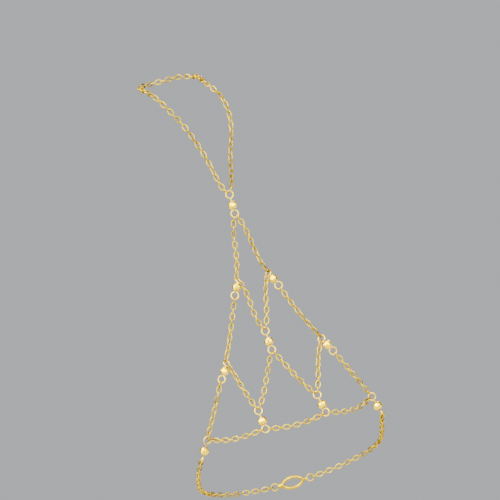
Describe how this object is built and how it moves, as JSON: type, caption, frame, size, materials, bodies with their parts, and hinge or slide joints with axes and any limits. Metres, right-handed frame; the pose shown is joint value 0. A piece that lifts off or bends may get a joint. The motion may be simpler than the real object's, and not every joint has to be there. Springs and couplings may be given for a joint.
{
  "type": "hand chain bracelet",
  "caption": "Gold hand chain: a net of fine links and faceted beads for the back of the hand, looped round the middle finger and closed round the wrist.",
  "frame": {"origin": "middle of the wrist, level with the lowest chain of the net", "axes": "+Z towards the fingers, +X across the back of the hand towards the little finger, +Y from the back of the hand to the palm"},
  "size_m": [0.0639, 0.0436, 0.1423],
  "materials": {
    "chain": "polished gold plate",
    "bead": "bright-cut facets, gold plate",
    "eye_pin": "polished gold plate",
    "clasp": "polished gold plate"
  },
  "bodies": {
    "root": {"bead_1": "bead", "bead_2": "bead", "bead_3": "bead", "bead_4": "bead", "bead_5": "bead", "bead_6": "bead", "bead_7": "bead", "bead_8": "bead", "bead_9": "bead", "bead_10": "bead", "eye_pin_1": "eye_pin", "eye_pin_2": "eye_pin", "eye_pin_3": "eye_pin", "eye_pin_4": "eye_pin", "eye_pin_5": "eye_pin", "eye_pin_6": "eye_pin", "eye_pin_7": "eye_pin", "eye_pin_8": "eye_pin", "eye_pin_9": "eye_pin", "eye_pin_10": "eye_pin", "chain_1_2": "chain", "chain_1_3": "chain", "chain_2_5": "chain", "chain_3_6": "chain", "chain_5_9": "chain", "chain_6_10": "chain", "chain_2_4": "chain", "chain_3_4": "chain", "chain_5_7": "chain", "chain_6_8": "chain", "chain_4_7": "chain", "chain_4_8": "chain", "chain_9_7": "chain", "chain_7_8": "chain", "chain_8_10": "chain", "wrist_chain_left": "chain", "wrist_chain_right": "chain", "finger_chain": "chain", "finger_link_left": "chain", "finger_link_right": "chain", "clasp": "clasp"}
  },
  "joints": []
}
